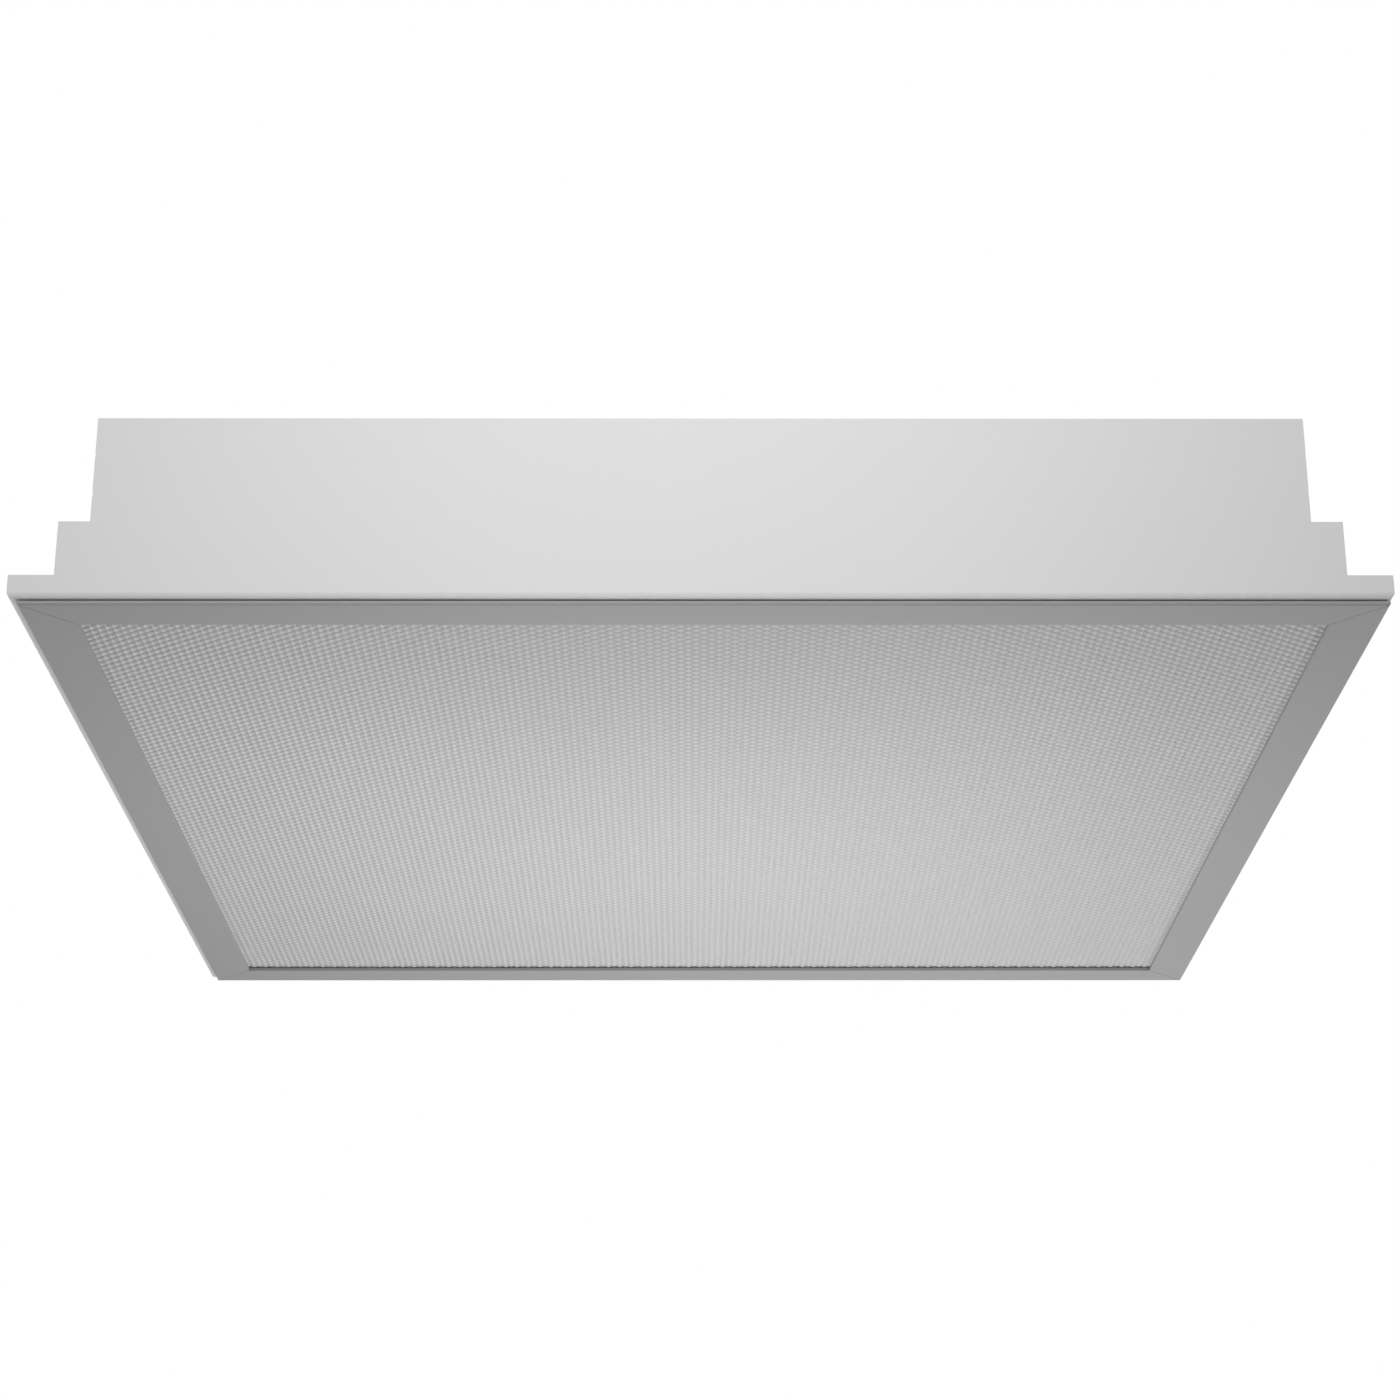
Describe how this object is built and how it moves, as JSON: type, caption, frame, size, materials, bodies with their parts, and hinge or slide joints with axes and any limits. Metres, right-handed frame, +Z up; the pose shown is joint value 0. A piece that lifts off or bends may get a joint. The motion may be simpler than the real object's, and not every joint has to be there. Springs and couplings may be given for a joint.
{
  "type": "recessed troffer light",
  "caption": "Square recessed ceiling light: stepped white steel housing and a mitred door frame with prismatic diffuser, hinged along one side, over tubular lamps.",
  "frame": {"origin": "under the centre of the rim, on the plane of the closed door's face", "axes": "+Z up into the ceiling, -Y the front end plate, +X the hinged side"},
  "size_m": [0.595, 0.595, 0.0893],
  "materials": {
    "housing_enamel": "satin white powder coat",
    "tray_enamel": "gloss white reflector enamel",
    "door_enamel": "satin white powder coat",
    "bare_aluminium": "mill finish",
    "zinc_steel": "bright zinc plate",
    "spring_steel": "polished spring steel",
    "white_plastic": "moulded white plastic",
    "circuit_board": "green laminate with dark parts",
    "terminal_plastic": "moulded light grey plastic",
    "clip_nylon": "natural nylon",
    "wire_sleeve": "white sleeve",
    "supply_wire": "dark insulation",
    "earth_wire": "green and yellow insulation",
    "brass": "plain brass",
    "rubber": "black rubber",
    "prismatic_acrylic": "clear prismatic acrylic over a white chamber",
    "lamp_glass": "glass tube coated white inside",
    "lamp_cap": "pressed aluminium"
  },
  "bodies": {
    "housing": {"housing_shell": "housing_enamel", "front_end_plate": "housing_enamel", "rear_end_plate": "housing_enamel", "end_plate_rivets": "bare_aluminium", "reflector_tray": "tray_enamel", "tray_screws": "zinc_steel", "front_lampholder_bar": "tray_enamel", "rear_lampholder_bar": "tray_enamel", "lampholder_bar_rivets": "bare_aluminium", "front_lampholders": "white_plastic", "rear_lampholders": "white_plastic", "ballast_base": "zinc_steel", "ballast_cover": "zinc_steel", "ballast_board": "circuit_board", "ballast_terminals": "terminal_plastic", "ballast_screws": "zinc_steel", "front_lamp_wires": "wire_sleeve", "rear_lamp_wires": "wire_sleeve", "wire_clips": "clip_nylon", "supply_terminal_block": "terminal_plastic", "terminal_block_screws": "zinc_steel", "supply_wires": "supply_wire", "earth_wire": "earth_wire", "earth_terminal": "brass", "cable_entry_grommet": "rubber", "hinge_brackets": "zinc_steel", "hinge_pins": "spring_steel"},
    "door": {"door_rail_front": "door_enamel", "door_rail_rear": "door_enamel", "door_rail_left": "door_enamel", "door_rail_right": "door_enamel", "door_corner_keys": "bare_aluminium", "diffuser": "prismatic_acrylic", "diffuser_clips": "spring_steel", "hinge_arms": "zinc_steel", "hinge_arm_rivets": "bare_aluminium", "door_catches": "spring_steel", "door_catch_rivets": "bare_aluminium"},
    "lamp_1": {"lamp_1_tube": "lamp_glass", "lamp_1_caps": "lamp_cap", "lamp_1_pins": "brass", "lamp_1_rotors": "white_plastic"},
    "lamp_2": {"lamp_2_tube": "lamp_glass", "lamp_2_caps": "lamp_cap", "lamp_2_pins": "brass", "lamp_2_rotors": "white_plastic"},
    "lamp_3": {"lamp_3_tube": "lamp_glass", "lamp_3_caps": "lamp_cap", "lamp_3_pins": "brass", "lamp_3_rotors": "white_plastic"},
    "lamp_4": {"lamp_4_tube": "lamp_glass", "lamp_4_caps": "lamp_cap", "lamp_4_pins": "brass", "lamp_4_rotors": "white_plastic"}
  },
  "joints": [
    {"name": "door_swing", "type": "hinge", "parent": "housing", "child": "door", "pos_m": [0.2943, 0, 0.0066], "axis": [0, -1, 0], "range_deg": [0, 90], "deforming": ["door_catches"]},
    {"name": "lamp_1_turn", "type": "hinge", "parent": "housing", "child": "lamp_1", "pos_m": [-0.1795, 0, 0.04175], "axis": [0, 1, 0], "range_deg": [0, 90]},
    {"name": "lamp_2_turn", "type": "hinge", "parent": "housing", "child": "lamp_2", "pos_m": [-0.05983, 0, 0.04175], "axis": [0, 1, 0], "range_deg": [0, 90]},
    {"name": "lamp_3_turn", "type": "hinge", "parent": "housing", "child": "lamp_3", "pos_m": [0.05983, 0, 0.04175], "axis": [0, 1, 0], "range_deg": [0, 90]},
    {"name": "lamp_4_turn", "type": "hinge", "parent": "housing", "child": "lamp_4", "pos_m": [0.1795, 0, 0.04175], "axis": [0, 1, 0], "range_deg": [0, 90]}
  ]
}
